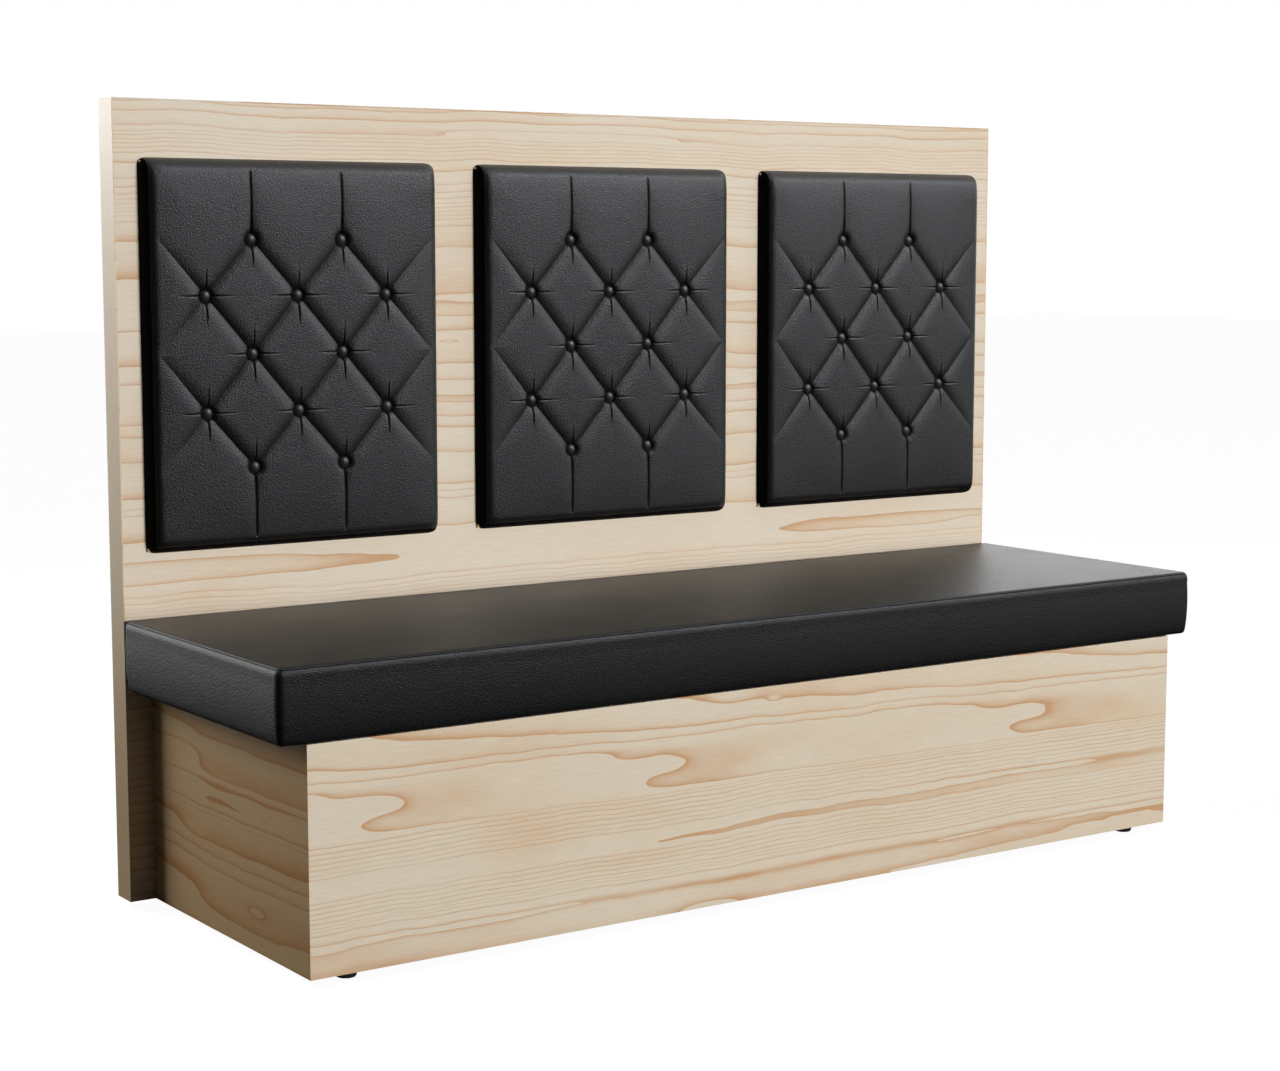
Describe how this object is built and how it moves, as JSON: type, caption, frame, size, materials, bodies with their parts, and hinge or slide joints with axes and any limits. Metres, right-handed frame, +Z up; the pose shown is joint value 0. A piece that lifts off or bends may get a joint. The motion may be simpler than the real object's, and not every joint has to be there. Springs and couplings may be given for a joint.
{
  "type": "upholstered banquette bench",
  "caption": "Banquette bench: a closed plinth box with a long leather seat cushion and a tall back panel that carries tufted pads, on screw-adjustable feet.",
  "frame": {"origin": "on the floor, at the middle of the bench's footprint", "axes": "+X along the bench to the right as seen from the front, +Y to the rear, +Z up"},
  "size_m": [1.8, 0.59, 1.273],
  "materials": {
    "pine_decor": "satin",
    "pine_band": "satin",
    "raw_timber": "matte",
    "black_leather": "satin",
    "foam": "matte",
    "black_plastic": "matte",
    "zinc_steel": "satin",
    "dust_cloth": "matte"
  },
  "bodies": {
    "bench": {"panel_front_board": "pine_decor", "panel_rear_board": "pine_decor", "plinth_front_board": "pine_decor", "plinth_left_board": "pine_decor", "plinth_right_board": "pine_decor", "panel_left_band": "pine_band", "panel_right_band": "pine_band", "panel_top_band": "pine_band", "panel_top_rail": "raw_timber", "panel_bottom_rail": "raw_timber", "panel_seat_rail": "raw_timber", "panel_left_stile": "raw_timber", "panel_right_stile": "raw_timber", "panel_left_mid_stile": "raw_timber", "panel_right_mid_stile": "raw_timber", "panel_pad_rails": "raw_timber", "plinth_upper_rail": "raw_timber", "plinth_lower_rail": "raw_timber", "plinth_left_partition": "raw_timber", "plinth_right_partition": "raw_timber", "plinth_corner_posts": "raw_timber", "plinth_seat_cleats": "raw_timber", "front_foot_blocks": "raw_timber", "seat_board": "raw_timber", "left_pad_board": "raw_timber", "middle_pad_board": "raw_timber", "right_pad_board": "raw_timber", "left_pad_foam": "foam", "left_pad_cover": "black_leather", "left_pad_buttons": "black_leather", "left_pad_ties": "black_plastic", "left_pad_clips": "black_plastic", "middle_pad_foam": "foam", "middle_pad_cover": "black_leather", "middle_pad_buttons": "black_leather", "middle_pad_ties": "black_plastic", "middle_pad_clips": "black_plastic", "right_pad_foam": "foam", "right_pad_cover": "black_leather", "right_pad_buttons": "black_leather", "right_pad_ties": "black_plastic", "right_pad_clips": "black_plastic", "seat_foam": "foam", "seat_cover": "black_leather", "seat_dust_cover": "dust_cloth", "panel_bolts": "zinc_steel", "panel_bolt_nuts": "zinc_steel", "seat_screws": "zinc_steel", "foot_inserts": "zinc_steel"},
    "front_left_foot": {"front_left_glide": "black_plastic", "front_left_stud": "zinc_steel"},
    "front_right_foot": {"front_right_glide": "black_plastic", "front_right_stud": "zinc_steel"},
    "rear_left_foot": {"rear_left_glide": "black_plastic", "rear_left_stud": "zinc_steel"},
    "rear_right_foot": {"rear_right_glide": "black_plastic", "rear_right_stud": "zinc_steel"}
  },
  "joints": [
    {"name": "front_left_foot_screw", "type": "slide", "parent": "bench", "child": "front_left_foot", "axis": [0, 0, -1], "range_m": [0, 0.015]},
    {"name": "front_right_foot_screw", "type": "slide", "parent": "bench", "child": "front_right_foot", "axis": [0, 0, -1], "range_m": [0, 0.015]},
    {"name": "rear_left_foot_screw", "type": "slide", "parent": "bench", "child": "rear_left_foot", "axis": [0, 0, -1], "range_m": [0, 0.015]},
    {"name": "rear_right_foot_screw", "type": "slide", "parent": "bench", "child": "rear_right_foot", "axis": [0, 0, -1], "range_m": [0, 0.015]}
  ]
}
